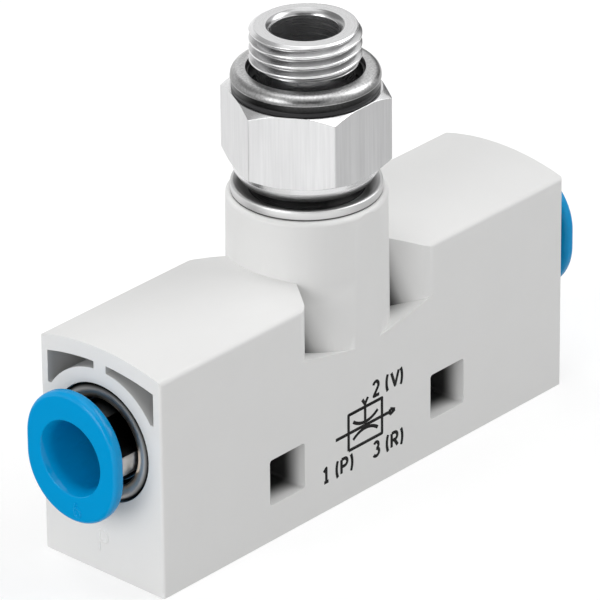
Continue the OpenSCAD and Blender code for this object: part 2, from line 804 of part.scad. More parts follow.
// Nipple: one turned piece of drawn hexagon bar
module vacuum_nipple() {
    color(alloy)
    difference() {
        union() {
            nipple_turning();
            hexagon();
        }
        translate([0, 0, foot_z - past]) cylinder(h = nipple_top_z - foot_z + 2 * past, r = nipple_bore_r);
        translate([0, 0, nipple_top_z - countersink_r + nipple_bore_r])
            cylinder(h = countersink_r - nipple_bore_r + eps, r1 = nipple_bore_r, r2 = countersink_r + eps);
    }
}

// O-ring in the stem's groove
module stem_seal() {
    color(rubber_black)
    translate([0, 0, stem_ring_z]) rotate_extrude()
        translate([stem_groove_bottom_r + stem_ring_d / 2, 0]) circle(stem_ring_d / 2 - press_gap);
}

// Open spring clip in the stem's upper groove, held down by the insert ring
module nipple_retaining_clip() {
    in_r = clip_groove_r + press_gap;
    color(steel_grey)
    rotate([0, 0, clip_gap_angle / 2])
        rotate_extrude(angle = 360 - clip_gap_angle) band(in_r, clip_r, clip_z, clip_z + clip_t);
}

// Metal ring of the bonded seal, with a rounded shoulder and a waist
module thread_seal_carrier() {
    top_z = face_z + carrier_top;
    low_z = face_z + rubber_foot_t + stack_gap;
    shoulder_z = top_z - carrier_shoulder_r;
    color(seal_metal)
    rotate_extrude() difference() {
        union() {
            band(0, carrier_r - carrier_shoulder_r, low_z, top_z);
            band(0, carrier_r, shoulder_z - carrier_bead_l, shoulder_z);
            band(0, carrier_r - carrier_waist, low_z, shoulder_z);
            intersection() {
                translate([carrier_r - carrier_shoulder_r, shoulder_z]) circle(carrier_shoulder_r);
                band(0, carrier_r, shoulder_z, top_z);
            }
        }
        band(0, carrier_bore_r, low_z - past, top_z + past);
    }
}

// Rubber bonded into it: a lining round the undercut and a foot on the hexagon's face
module thread_seal_rubber() {
    top_z = face_z + carrier_top - rubber_recess;
    foot_top = face_z + rubber_foot_t;
    color(rubber_black)
    rotate_extrude() {
        band(rubber_bore_r, carrier_bore_r - stack_gap, face_z + stack_gap, top_z);
        band(rubber_bore_r, rubber_r, face_z + stack_gap, foot_top);
    }
}

// ---- assembly --------------------------------------------------------------

housing();
supply_release_ring();
exhaust_release_ring();
supply_collet();
exhaust_collet();
supply_sleeve();
exhaust_sleeve();
supply_backing_ring();
exhaust_backing_ring();
supply_tube_seal();
exhaust_tube_seal();
jet_nozzle();
jet_nozzle_seal();
receiver_nozzle();
receiver_nozzle_seal();
tower_insert_ring();
vacuum_nipple();
stem_seal();
nipple_retaining_clip();
thread_seal_carrier();
thread_seal_rubber();
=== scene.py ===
"""Looks of the in-line vacuum ejector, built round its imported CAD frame.

A light grey moulded housing with a blue push-in connector at each end, and a
swivelling threaded nipple on its tower. Lengths are written in millimetres and
scaled by mm, in the frame of the CAD model.
"""

import math

import bmesh
import bpy
from mathutils import Matrix, Vector


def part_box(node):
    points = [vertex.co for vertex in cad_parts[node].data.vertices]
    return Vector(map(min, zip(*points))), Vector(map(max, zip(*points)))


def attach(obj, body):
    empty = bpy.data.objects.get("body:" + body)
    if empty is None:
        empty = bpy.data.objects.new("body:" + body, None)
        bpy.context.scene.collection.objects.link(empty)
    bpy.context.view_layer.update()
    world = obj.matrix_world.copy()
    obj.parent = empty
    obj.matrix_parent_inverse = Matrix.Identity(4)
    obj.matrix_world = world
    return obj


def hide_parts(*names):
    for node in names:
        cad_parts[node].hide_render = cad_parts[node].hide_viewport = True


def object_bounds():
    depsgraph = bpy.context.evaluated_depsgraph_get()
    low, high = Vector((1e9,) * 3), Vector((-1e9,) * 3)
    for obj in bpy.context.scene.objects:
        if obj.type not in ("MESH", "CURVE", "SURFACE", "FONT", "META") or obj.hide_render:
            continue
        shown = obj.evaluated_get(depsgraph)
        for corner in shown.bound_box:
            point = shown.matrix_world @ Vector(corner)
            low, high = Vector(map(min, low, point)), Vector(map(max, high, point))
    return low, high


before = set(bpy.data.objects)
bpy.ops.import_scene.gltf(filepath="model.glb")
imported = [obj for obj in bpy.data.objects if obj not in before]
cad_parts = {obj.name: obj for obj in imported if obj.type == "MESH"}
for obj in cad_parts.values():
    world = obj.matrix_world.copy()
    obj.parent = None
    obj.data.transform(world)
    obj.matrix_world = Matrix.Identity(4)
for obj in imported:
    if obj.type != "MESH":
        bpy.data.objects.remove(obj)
cad_low, cad_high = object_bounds()

mm = 0.001
scene = bpy.context.scene
scene.view_settings.view_transform = "Standard"

# ---- camera -----------------------------------------------------------------
# A long lens, far off, looks down on the supply end and on the printed side. The
# slide moves it along its own right and its own up, off the line to the origin.

camera_azimuth = math.radians(-47.523)
camera_elevation = math.radians(27.23)
camera_roll = math.radians(-0.538)
camera_distance = 571.56
camera_slide = (-0.802, 14.312)
camera_lens = 389.74

back = Vector((
    math.sin(camera_azimuth) * math.cos(camera_elevation),
    -math.cos(camera_azimuth) * math.cos(camera_elevation),
    math.sin(camera_elevation),
))
level_right = Vector((math.cos(camera_azimuth), math.sin(camera_azimuth), 0))
level_up = back.cross(level_right)
right = level_right * math.cos(camera_roll) + level_up * math.sin(camera_roll)
up = level_up * math.cos(camera_roll) - level_right * math.sin(camera_roll)
standpoint = right * camera_slide[0] + up * camera_slide[1] + back * camera_distance

camera = bpy.data.objects.new("camera", bpy.data.cameras.new("camera"))
camera.data.sensor_width = 36
camera.data.lens = camera_lens
camera.data.clip_start = 0.01
camera.matrix_world = Matrix.Translation(standpoint * mm) @ Matrix((right, up, back)).transposed().to_4x4()
scene.collection.objects.link(camera)
scene.camera = camera

# ---- studio -----------------------------------------------------------------
# A white room: an even sky and soft boxes round the object, the strongest at the
# supply end, and cards that only reflections see, so that the metals have shape.

white = (1, 1, 1, 1)
sky_strength = 0.3
backdrop_strength = 1.0


def shader_tree(holder):
    """Empties a material's or a world's node tree and returns its nodes and a link call."""
    holder.use_nodes = True
    tree = holder.node_tree
    tree.nodes.clear()
    return tree.nodes, tree.links.new


def fill_inputs(node, link, values):
    """Gives a node's first inputs their numbers, vectors or sockets, in order."""
    for slot_input, value in zip(node.inputs, values):
        if isinstance(value, bpy.types.NodeSocket):
            link(value, slot_input)
        else:
            slot_input.default_value = value


def math_node(nodes, link, operation, *values):
    """The result of a sum with numbers or sockets."""
    node = nodes.new("ShaderNodeMath")
    node.operation = operation
    fill_inputs(node, link, values)
    return node.outputs[0]


def vector_node(nodes, link, operation, *values):
    """The result of a sum with vectors or sockets."""
    node = nodes.new("ShaderNodeVectorMath")
    node.operation = operation
    fill_inputs(node, link, values)
    return node.outputs["Value" if operation in ("DOT_PRODUCT", "LENGTH") else "Vector"]


def seen_by_eye(nodes, link):
    """1 for rays of the camera and of mirror and glass reflections, 0 for the rest."""
    rays = nodes.new("ShaderNodeLightPath").outputs
    either = math_node(nodes, link, "MAXIMUM", rays["Is Camera Ray"], rays["Is Glossy Ray"])
    return math_node(nodes, link, "MAXIMUM", either, rays["Is Transmission Ray"])


world = bpy.data.worlds.new("white_room")
scene.world = world
nodes, link = shader_tree(world)
sky = nodes.new("ShaderNodeBackground")
backdrop = nodes.new("ShaderNodeBackground")
for light, strength in ((sky, sky_strength), (backdrop, backdrop_strength)):
    fill_inputs(light, link, (white, strength))
mix = nodes.new("ShaderNodeMixShader")
fill_inputs(mix, link, (seen_by_eye(nodes, link), sky.outputs[0], backdrop.outputs[0]))
out = nodes.new("ShaderNodeOutputWorld")
link(mix.outputs[0], out.inputs["Surface"])

floor_half = 1500
floor_z = -0.02
floor_colour = (0.5, 0.5, 0.5, 1)
# The floor glows to the eye, by the first amount up to the first distance from
# the origin and by the second from the second one on.
floor_glow = (0.55, 0.8)
glow_reach = (300, 1400)
square = ((-1, -1), (1, -1), (1, 1), (-1, 1))


def flat_panel(name, material_name, corners):
    """A panel for the studio between four corners, with a new material."""
    mesh = bpy.data.meshes.new(name)
    mesh.from_pydata(corners, [], [(0, 1, 2, 3)])
    mesh.materials.append(bpy.data.materials.new(material_name))
    panel = bpy.data.objects.new(name, mesh)
    scene.collection.objects.link(panel)
    return panel


floor = flat_panel("floor", "pale_floor", [
    (x * floor_half * mm, y * floor_half * mm, floor_z * mm) for x, y in square])
nodes, link = shader_tree(floor.data.materials[0])
matt = nodes.new("ShaderNodeBsdfDiffuse")
matt.inputs["Color"].default_value = floor_colour
from_origin = vector_node(nodes, link, "LENGTH", nodes.new("ShaderNodeTexCoord").outputs["Object"])
rise = nodes.new("ShaderNodeMapRange")
fill_inputs(rise, link, (from_origin, glow_reach[0] * mm, glow_reach[1] * mm, *floor_glow))
glow = nodes.new("ShaderNodeEmission")
fill_inputs(glow, link, (
    white, math_node(nodes, link, "MULTIPLY", seen_by_eye(nodes, link), rise.outputs["Result"])))
both = nodes.new("ShaderNodeAddShader")
fill_inputs(both, link, (matt.outputs[0], glow.outputs[0]))
out = nodes.new("ShaderNodeOutputMaterial")
link(both.outputs[0], out.inputs["Surface"])

lamp_distance = 900
lamp_side = 600


def soft_lamp(name, direction, power):
    """A square soft box that faces the object from one direction."""
    lamp = bpy.data.objects.new(name, bpy.data.lights.new(name, "AREA"))
    lamp.data.shape = "SQUARE"
    lamp.data.size = lamp_side * mm
    lamp.data.energy = power
    towards = Vector(direction).normalized()
    lamp.location = towards * lamp_distance * mm
    lamp.rotation_euler = towards.to_track_quat("Z", "Y").to_euler()
    scene.collection.objects.link(lamp)
    return lamp


soft_lamp("side_lamp", (-0.95, 0, 0.3), 3.9)
soft_lamp("front_lamp", (-0.75, -0.6, 0.25), 1.65)
soft_lamp("right_lamp", (0.6, -0.45, 0.65), 3.55)
soft_lamp("top_lamp", (0, 0, 1), 1.2)
soft_lamp("back_lamp", (0, 0.7, 0.7), 2.3).visible_glossy = False

table_card_z = -0.01


def mirror_card(name, centre, facing, size, grey):
    """A grey card that only mirror reflections see."""
    turn = Vector(facing).to_track_quat("Z", "Y").to_matrix()
    corners = [Vector((x * size[0] / 2, y * size[1] / 2, 0)) for x, y in square]
    card = flat_panel(name, name, [(Vector(centre) + turn @ corner) * mm for corner in corners])
    card.visible_camera = False
    card.visible_diffuse = False
    card.visible_shadow = False
    nodes, link = shader_tree(card.data.materials[0])
    glow = nodes.new("ShaderNodeEmission")
    glow.inputs["Color"].default_value = (grey, grey, grey, 1)
    out = nodes.new("ShaderNodeOutputMaterial")
    link(glow.outputs[0], out.inputs["Surface"])


mirror_card("near_card", (-198, -180, 150), (0.66, 0.6, -0.46), (300, 240), 0.08)
mirror_card("far_card", (360, 130, 80), (-0.94, -0.3, -0.17), (420, 200), 0.12)
mirror_card("back_card", (-70, 280, 300), (0.1, -0.68, -0.72), (460, 300), 0.4)
mirror_card("table_card_right", (158, -158, table_card_z), (0, 0, 1), (285, 285), 0.66)
mirror_card("table_card_left", (-58, 28, table_card_z), (0, 0, 1), (54, 64), 0.05)

# ---- housing ----------------------------------------------------------------
# One injection moulding of light grey glass-filled plastic. All its edges have
# the small radius that the mould's tool leaves, and its skin is finely matt.

moulded_edge_r = 0.12
moulded_edge_angle = math.radians(32)
moulded_grey = (0.788, 0.788, 0.782, 1)
housing_skin = {"roughness": 0.52, "cloud": 0.032, "grain": 0.6, "grain_per_mm": 7.0, "relief": 0.005}
weld_gap = 0.002
flat_angle = math.radians(0.3)


def socket_group(name, inputs, outputs):
    """An empty shader group with named inputs, each with its kind and value, and named outputs."""
    tree = bpy.data.node_groups.new(name, "ShaderNodeTree")
    for label, kind, value in inputs:
        socket = tree.interface.new_socket(label, in_out="INPUT", socket_type="NodeSocket" + kind)
        socket.default_value = value
    for label, kind in outputs:
        tree.interface.new_socket(label, in_out="OUTPUT", socket_type="NodeSocket" + kind)
    return tree, tree.nodes.new("NodeGroupInput"), tree.nodes.new("NodeGroupOutput")


def noise_mask(tree, vector, scale, detail, roughness=0.5):
    """A noise from 0 to 1 in a shader group."""
    noise = tree.nodes.new("ShaderNodeTexNoise")
    noise.inputs["Detail"].default_value = detail
    noise.inputs["Roughness"].default_value = roughness
    tree.links.new(vector, noise.inputs["Vector"])
    tree.links.new(scale, noise.inputs["Scale"])
    return noise.outputs["Fac"]


def make_fine_grain():
    """Matt skin: a fine grain and a slow unevenness, from a point in millimetres."""
    tree, start, end = socket_group("fine_grain", [
        ("Point", "Vector", (0, 0, 0)), ("Grain per mm", "Float", 6.0), ("Cloud per mm", "Float", 0.25),
    ], [("Grain", "Float"), ("Cloud", "Float")])
    for label in ("Grain", "Cloud"):
        mask = noise_mask(tree, start.outputs["Point"], start.outputs[label + " per mm"], 3, 0.6)
        tree.links.new(mask, end.inputs[label])
    return tree


fine_grain = make_fine_grain()


def millimetre_point(nodes, link):
    """The surface point in millimetres in the object's own frame."""
    where = nodes.new("ShaderNodeTexCoord").outputs["Object"]
    return vector_node(nodes, link, "MULTIPLY", where, (1 / mm, 1 / mm, 1 / mm))


def place_group(nodes, link, tree, point=millimetre_point, **values):
    """Places a shader group on a point and sets its inputs by name, with spaces written as underscores."""
    node = nodes.new("ShaderNodeGroup")
    node.node_tree = tree
    link(point(nodes, link), node.inputs["Point"])
    for label, value in values.items():
        node.inputs[label.replace("_", " ")].default_value = value
    return node


def split(nodes, link, vector):
    """The X, Y and Z of a vector."""
    parts = nodes.new("ShaderNodeSeparateXYZ")
    link(vector, parts.inputs[0])
    return parts.outputs[0], parts.outputs[1], parts.outputs[2]


def from_axis(nodes, link, point):
    """A point's distance from the axis Z."""
    x, y, z = split(nodes, link, point)
    squares = math_node(nodes, link, "MULTIPLY_ADD", y, y, math_node(nodes, link, "MULTIPLY", x, x))
    return math_node(nodes, link, "SQRT", squares)


def between(nodes, link, factor, low, high):
    """A number that goes from low to high as a mask goes from 0 to 1."""
    node = nodes.new("ShaderNodeMapRange")
    node.inputs["To Min"].default_value = low
    node.inputs["To Max"].default_value = high
    link(factor, node.inputs["Value"])
    return node.outputs["Result"]


def shaded(nodes, link, factor, colour, low, high):
    """A colour whose brightness goes from low to high times itself with a mask."""
    node = nodes.new("ShaderNodeMix")
    node.data_type = "RGBA"
    node.inputs[6].default_value = tuple(min(1, c * low) for c in colour[:3]) + (1,)
    node.inputs[7].default_value = tuple(min(1, c * high) for c in colour[:3]) + (1,)
    link(factor, node.inputs[0])
    return node.outputs[2]


def toned(nodes, link, value, stops):
    """A brightness that follows a value through (value, brightness) stops."""
    ramp = nodes.new("ShaderNodeValToRGB")
    first, last = stops[0][0], stops[-1][0]
    marks = ramp.color_ramp.elements
    while len(marks) < len(stops):
        marks.new(0.5)
    for mark, (place, tone) in zip(marks, stops):
        mark.position = (place - first) / (last - first)
        mark.color = (*tone, 1) if isinstance(tone, tuple) else (tone, tone, tone, 1)
    spread = nodes.new("ShaderNodeMapRange")
    fill_inputs(spread, link, (value, first, last))
    link(spread.outputs["Result"], ramp.inputs["Fac"])
    return ramp.outputs["Color"]


def dimmed(nodes, link, surface, value, stops):
    """Multiplies a surface's base colour by a brightness that follows a value."""
    mix = nodes.new("ShaderNodeMix")
    mix.data_type = "RGBA"
    mix.blend_type = "MULTIPLY"
    mix.inputs[0].default_value = 1
    link(surface.inputs["Base Color"].links[0].from_socket, mix.inputs[6])
    link(toned(nodes, link, value, stops), mix.inputs[7])
    link(mix.outputs[2], surface.inputs["Base Color"])


def new_surface(name):
    """A new material with its main surface shader, and the nodes and link call to add to it."""
    material = bpy.data.materials.new(name)
    nodes, link = shader_tree(material)
    surface = nodes.new("ShaderNodeBsdfPrincipled")
    out = nodes.new("ShaderNodeOutputMaterial")
    link(surface.outputs[0], out.inputs["Surface"])
    return material, nodes, link, surface


def tree_of(material):
    """A finished material's nodes, link call and main surface shader, for adding to it."""
    nodes, link = material.node_tree.nodes, material.node_tree.links.new
    return nodes, link, next(node for node in nodes if node.type == "BSDF_PRINCIPLED")


def bumped(nodes, link, height, relief):
    """A normal from a height map, with the relief's depth in millimetres."""
    node = nodes.new("ShaderNodeBump")
    node.inputs["Distance"].default_value = relief * mm
    link(height, node.inputs["Height"])
    return node.outputs["Normal"]


def moulded_plastic(name, colour, roughness, cloud, grain, grain_per_mm, relief, ior=1.5, specular=0.5):
    """A moulded surface with a matt skin. Cloud and grain say how uneven its colour is."""
    material, nodes, link, surface = new_surface(name)
    skin = place_group(nodes, link, fine_grain, Grain_per_mm=grain_per_mm).outputs
    mottle = math_node(nodes, link, "MULTIPLY_ADD", skin["Grain"], grain, 0.5 - grain / 2)
    mottle = math_node(nodes, link, "MULTIPLY", mottle, 0.5)
    mottle = math_node(nodes, link, "MULTIPLY_ADD", skin["Cloud"], 0.5, mottle)
    link(shaded(nodes, link, mottle, colour, 1 - cloud, 1 + cloud), surface.inputs["Base Color"])
    link(between(nodes, link, skin["Grain"], roughness - 0.06, roughness + 0.06), surface.inputs["Roughness"])
    link(bumped(nodes, link, skin["Grain"], relief), surface.inputs["Normal"])
    surface.inputs["IOR"].default_value = ior
    surface.inputs["Specular IOR Level"].default_value = specular
    return material


def object_from(name, mesh, body, slot_name, *replaced):
    """Links a finished mesh as a piece that rides on a body."""
    piece = bpy.data.objects.new(name, mesh)
    scene.collection.objects.link(piece)
    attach(piece, body)
    if replaced:
        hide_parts(*replaced)
    return piece


def with_modifier(piece, kind, **settings):
    """Adds a modifier with its settings."""
    modifier = piece.modifiers.new(kind.lower(), kind)
    for label, value in settings.items():
        setattr(modifier, label, value)


def smooth_flats(piece):
    """Lets the large faces set the shading of the small ones along their edges."""
    with_modifier(piece, "WEIGHTED_NORMAL", keep_sharp=False, weight=100)


def moulded_copy(node, name):
    """A copy of a moulding's frame mesh with whole flat faces, ready for its edges to be rounded."""
    work = bmesh.new()
    work.from_mesh(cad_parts[node].data)
    bmesh.ops.remove_doubles(work, verts=work.verts, dist=weld_gap * mm)
    bmesh.ops.dissolve_limit(
        work, angle_limit=flat_angle, verts=work.verts, edges=work.edges, delimit={"NORMAL"})
    for face in work.faces:
        face.smooth = True
    clean = bpy.data.meshes.new(name)
    work.to_mesh(clean)
    work.free()
    return clean


def make_recess():
    """Depth in spaces that repeat at both signs of X and Y, from 0 at a start depth to 1 at a full one."""
    tree, start, end = socket_group("recess", [
        ("Point", "Vector", (0, 0, 0)), ("Low", "Vector", (0, 0, 0)), ("High", "Vector", (1, 1, 1)),
        ("Axis", "Vector", (0, 1, 0)), ("Start", "Float", 0.5), ("Full", "Float", 2.0),
    ], [("Depth", "Float")])
    nodes, link = tree.nodes, tree.links.new
    here = vector_node(nodes, link, "ABSOLUTE", start.outputs["Point"])
    above = vector_node(nodes, link, "SUBTRACT", here, start.outputs["Low"])
    below = vector_node(nodes, link, "SUBTRACT", start.outputs["High"], here)
    x, y, z = split(nodes, link, vector_node(nodes, link, "MINIMUM", above, below))
    least = math_node(nodes, link, "MINIMUM", math_node(nodes, link, "MINIMUM", x, y), z)
    inside = math_node(nodes, link, "GREATER_THAN", least, 0.0)
    depth = nodes.new("ShaderNodeMapRange")
    depth.interpolation_type = "SMOOTHSTEP"
    fill_inputs(depth, link, (
        vector_node(nodes, link, "DOT_PRODUCT", below, start.outputs["Axis"]),
        start.outputs["Start"], start.outputs["Full"]))
    link(math_node(nodes, link, "MULTIPLY", depth.outputs["Result"], inside), end.inputs["Depth"])
    return tree


recess = make_recess()


def depth_in(nodes, link, space, axis, start, full):
    """A mask that rises in a space, given by two corners, against the direction of an axis."""
    low, high = space
    return place_group(
        nodes, link, recess, Low=low, High=high, Axis=axis, Start=start, Full=full).outputs["Depth"]


side_hole = ((8.0, 0.0, 3.3), (12.8, 7.0, 8.0))
window = ((16.0, 0.5, 15.2), (25.98, 6.3, 20.3))
pocket = ((3.5, 2.0, 13.0), (8.1, 6.98, 21.2))
tower_reach = 7.25
supply_side = (-0.954, -0.3, 0)

housing_plastic = moulded_plastic("housing_plastic", moulded_grey, **housing_skin)
# Painted shade: this copy of the housing's plastic darkens with depth in the side holes, to near black, and
# in the end windows, to two thirds.
painted_shade_plastic = moulded_plastic("painted_shade_plastic", moulded_grey, **housing_skin)
nodes, link, surface = tree_of(painted_shade_plastic)
dimmed(nodes, link, surface, depth_in(nodes, link, side_hole, (0, 1, 0), 0.5, 2.6), [(0, 1), (1, 0.04)])
dimmed(nodes, link, surface, depth_in(nodes, link, window, (1, 0, 0), -0.6, 0.9), [(0, 1), (1, 0.66)])

# Painted shade in the pockets beside the tower: on upright walls it darkens towards the tower and downwards,
# to near black.
facing = nodes.new("ShaderNodeNewGeometry").outputs["Normal"]
upright_wall = math_node(nodes, link, "LESS_THAN", split(nodes, link, facing)[2], 0.5)
corner = math_node(
    nodes, link, "MULTIPLY", depth_in(nodes, link, pocket, (0, 1, 0.35), 2.6, 5.2), upright_wall)
dimmed(nodes, link, surface, corner, [(0, 1), (0.5, 0.7), (1, 0.06)])

# Painted shade: the tower's side that faces the supply end, above the block, is painted about a tenth darker.
here = millimetre_point(nodes, link)
on_tower = math_node(nodes, link, "LESS_THAN", from_axis(nodes, link, here), tower_reach)
above_block = toned(nodes, link, split(nodes, link, here)[2], [(17, 0), (21, 1)])
tower_side_shade = vector_node(nodes, link, "DOT_PRODUCT", facing, supply_side)
for mask in (on_tower, above_block):
    tower_side_shade = math_node(nodes, link, "MULTIPLY", tower_side_shade, mask)
dimmed(nodes, link, surface, tower_side_shade, [(0.45, 1), (0.8, 0.89), (1, 0.89)])

housing_mesh = moulded_copy("housing", "moulded_housing")
housing_mesh.materials.append(painted_shade_plastic)
housing = object_from("moulded_housing", housing_mesh, "housing", "housing", "housing")
with_modifier(
    housing, "BEVEL", width=moulded_edge_r * mm, segments=2, limit_method="ANGLE",
    angle_limit=moulded_edge_angle, use_clamp_overlap=True, miter_outer="MITER_ARC", harden_normals=False)
smooth_flats(housing)

# ---- print on the side ------------------------------------------------------
# Pad-printed black ink: the symbol of an air jet pump with its flow arrows, and
# the numbers and letters of the three ports. The film is a few microns thick.

ink_width = 0.33
ink_proud = 0.006
ink_black = (0.006, 0.006, 0.006, 1)
side_face = cad_low.y / mm
cap_h = 1.38
cap_w = 0.78
label_pens = (0.0, 1.68, 2.36, 3.44)
sharp_corner = 0.7


def arc(centre, radii, start, end, steps=14):
    """Points along an elliptic arc, from one angle to another in degrees."""
    turns = [math.radians(start + (end - start) * i / steps) for i in range(steps + 1)]
    return [(centre[0] + radii[0] * math.cos(t), centre[1] + radii[1] * math.sin(t)) for t in turns]


glyphs = {
    "1": [[(0.1, 0.76), (0.5, 1), (0.5, 0)], [(0.14, 0), (0.86, 0)]],
    "2": [arc((0.44, 0.72), (0.42, 0.28), 165, -25) + [(0.06, 0), (0.98, 0)]],
    "3": [arc((0.42, 0.76), (0.38, 0.24), 150, -80) + arc((0.42, 0.27), (0.48, 0.27), 80, -152)],
    "6": [arc((0.86, 0.42), (0.74, 0.58), 112, 180) + arc((0.5, 0.31), (0.4, 0.31), 160, -200, 24)],
    "P": [[(0, 0), (0, 1)], [(0, 1), (0.5, 1)] + arc((0.5, 0.74), (0.46, 0.26), 90, -90) + [(0, 0.48)]],
    "R": [[(0, 0), (0, 1)], [(0, 1), (0.5, 1)] + arc((0.5, 0.74), (0.44, 0.26), 90, -90) + [(0, 0.48)],
          [(0.46, 0.48), (1, 0)]],
    "V": [[(0, 1), (0.62, 0), (1.24, 1)]],
    "(": [arc((0.56, 0.46), (0.5, 0.72), 125, 235)],
    ")": [arc((-0.1, 0.46), (0.5, 0.72), 55, -55)],
}


def kept_full(stroke, reach=0.02):
    """The same stroke with points close to both sides of each sharp corner, so that its width holds there."""
    points = [Vector(stroke[0])]
    for point in map(Vector, stroke[1:]):
        if (point - points[-1]).length > reach:
            points.append(point)
    line = [points[0]]
    for before, here, after in zip(points, points[1:], points[2:]):
        if (here - before).angle(after - here) > sharp_corner:
            inward, onward = (before - here).normalized(), (after - here).normalized()
            line += [here + inward * reach, here, here + onward * reach]
        else:
            line.append(here)
    return line + [points[-1]]


def strokes_mesh(name, strokes, width, proud, place):
    """Round-nibbed strokes flattened to a film. Place maps (along, up, out) to the object's frame."""
    curve = bpy.data.curves.new(name, "CURVE")
    curve.dimensions = "3D"
    curve.bevel_depth = width / 2
    curve.bevel_resolution = 2
    curve.use_fill_caps = True
    for stroke in map(kept_full, strokes):
        spline = curve.splines.new("POLY")
        spline.points.add(len(stroke) - 1)
        for point, (x, z) in zip(spline.points, stroke):
            point.co = (x, 0, z, 1)
    holder = bpy.data.objects.new(name, curve)
    mesh = bpy.data.meshes.new_from_object(holder)
    bpy.data.objects.remove(holder)
    bpy.data.curves.remove(curve)
    for vertex in mesh.vertices:
        x, y, z = vertex.co
        vertex.co = Vector(place(x, z, -y * 2 * proud / width)) * mm
    mesh.shade_smooth()
    return mesh


def sign_strokes(sign, x, z, width, height):
    """The strokes of one sign whose lower left corner is at (x, z)."""
    return [[(x + u * width, z + v * height) for u, v in stroke] for stroke in glyphs[sign]]


def port_label(text, x, z):
    """The strokes of a port's number and its letter in brackets."""
    return sum((sign_strokes(sign, x + pen, z, cap_w, cap_h) for sign, pen in zip(text, label_pens)), [])


def on_side_face(x, z, out):
    """A place on the printed side."""
    return (x, side_face - out, z)


symbol_low = (-2.56, 4.74)
symbol_high = (1.8, 8.22)
flow_start_x = -4.23
flow_z = 6.42
vacuum_x = -0.4
nozzle_x = -0.36
nozzle_radii = (2.6, 2.75)
arrow_foot_x = 2.85
arrow_tip_x = 3.5
arrow_half = 0.28
symbol = [
    [symbol_low, (symbol_low[0], symbol_high[1]), symbol_high, (symbol_high[0], symbol_low[1]), symbol_low],
    [(flow_start_x, flow_z), (3.0, flow_z)],
    [(vacuum_x, 8.6), (vacuum_x, flow_z + 0.2)],
    [(vacuum_x - 0.37, 9.05), (vacuum_x, 8.5), (vacuum_x + 0.37, 9.05)],
    arc((nozzle_x, 9.5), nozzle_radii, -128, -52),
    arc((nozzle_x, 3.4), nozzle_radii, 128, 52),
]
symbol += [[(arrow_foot_x, flow_z + half), (arrow_tip_x, flow_z)] for half in (-arrow_half, arrow_half)]
symbol += [[(arrow_foot_x, flow_z - arrow_half), (arrow_foot_x, flow_z + arrow_half)]]
labels = port_label("1(P)", -5.86, 2.86) + port_label("2(V)", 0.68, 8.77) + port_label("3(R)", 0.7, 2.78)

ink, nodes, link, surface = new_surface("black_ink")
surface.inputs["Specular IOR Level"].default_value = 0.1
skin = place_group(nodes, link, fine_grain, Grain_per_mm=9.0).outputs
link(shaded(nodes, link, skin["Grain"], ink_black, 0.6, 1.6), surface.inputs["Base Color"])
link(between(nodes, link, skin["Grain"], 0.4, 0.6), surface.inputs["Roughness"])

print_mesh = strokes_mesh("side_print", symbol + labels, ink_width, ink_proud, on_side_face)
print_mesh.materials.append(ink)
object_from("side_print", print_mesh, "housing", "housing")

# ---- port letters on the end faces ------------------------------------------
# P and R stand raised from the moulding, in the same plastic, on the faces below
# the two connectors.

letter_h = 2.0
letter_w = 1.0
letter_z = 2.0
letter_proud = 0.07
letter_width = 0.26
block_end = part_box("housing")[1].x / mm


def raised_letter(name, sign, side):
    """One letter on an end face, read from outside. Side is -1 at the supply end and 1 at the exhaust end."""
    def on_end_face(y, z, out):
        return (side * (block_end + out), side * y, z)

    strokes = sign_strokes(sign, -letter_w / 2, letter_z, letter_w, letter_h)
    mesh = strokes_mesh(name, strokes, letter_width, letter_proud, on_end_face)
    mesh.materials.append(housing_plastic)
    object_from(name, mesh, "housing", "housing")


raised_letter("supply_port_letter", "P", -1)
raised_letter("exhaust_port_letter", "R", 1)

# ---- release rings ----------------------------------------------------------
# A blue acetal ring with an oval flange that a finger presses to let the tube
# go, and a thin shank inside the collet. It has a glossy, evenly rounded skin,
# and the tube's size stands raised on its face.

bore_axis_z = 12.6
ring_bore_r = 3.12
ring_mouth_r = 3.5
ring_mouth_l = 0.85
shank_outer_r = 3.44
ring_back = 2.6
ring_front = 3.83
ring_shank_end = 2.1
flange_r = 5.24
flange_stretch = 0.8
flange_rim_r = 0.45
# The outline starts to turn from round to oval this far outside the shank, and is
# oval after this run.
oval_start = 0.3
oval_run = 0.9
round_turn_count = 160
ring_blue = (0.0, 0.31, 0.66, 1)
digit_h = 1.3
digit_w = 0.85
digit_middle = -4.72
digit_tilt = math.radians(8)
digit_width = 0.24
digit_proud = 0.07
# The most of an edge that the fillets at its two ends may take up.
fillet_share = 0.98


def filleted(points, steps=4):
    """A closed profile of (radius, height, fillet) corners, with each corner replaced by an arc."""
    line = []
    for i, (r, z, fillet) in enumerate(points):
        if fillet <= 0:
            line.append((r, z))
            continue
        last_point, next_point = points[i - 1], points[(i + 1) % len(points)]
        here = Vector((r, z))
        before = Vector(last_point[:2]) - here
        after = Vector(next_point[:2]) - here
        half = before.angle(after) / 2
        room = [edge.length * fillet_share * fillet / (fillet + other[2])
                for edge, other in ((before, last_point), (after, next_point))]
        reach = min([fillet / math.tan(half)] + room)
        radius = reach * math.tan(half)
        middle = here + (before.normalized() + after.normalized()).normalized() * (radius / math.sin(half))
        first = here + before.normalized() * reach - middle
        last = here + after.normalized() * reach - middle
        sweep = first.angle_signed(last)
        for k in range(steps + 1):
            turn = -sweep * k / steps
            line.append((
                middle.x + first.x * math.cos(turn) - first.y * math.sin(turn),
                middle.y + first.x * math.sin(turn) + first.y * math.cos(turn)))
    return line


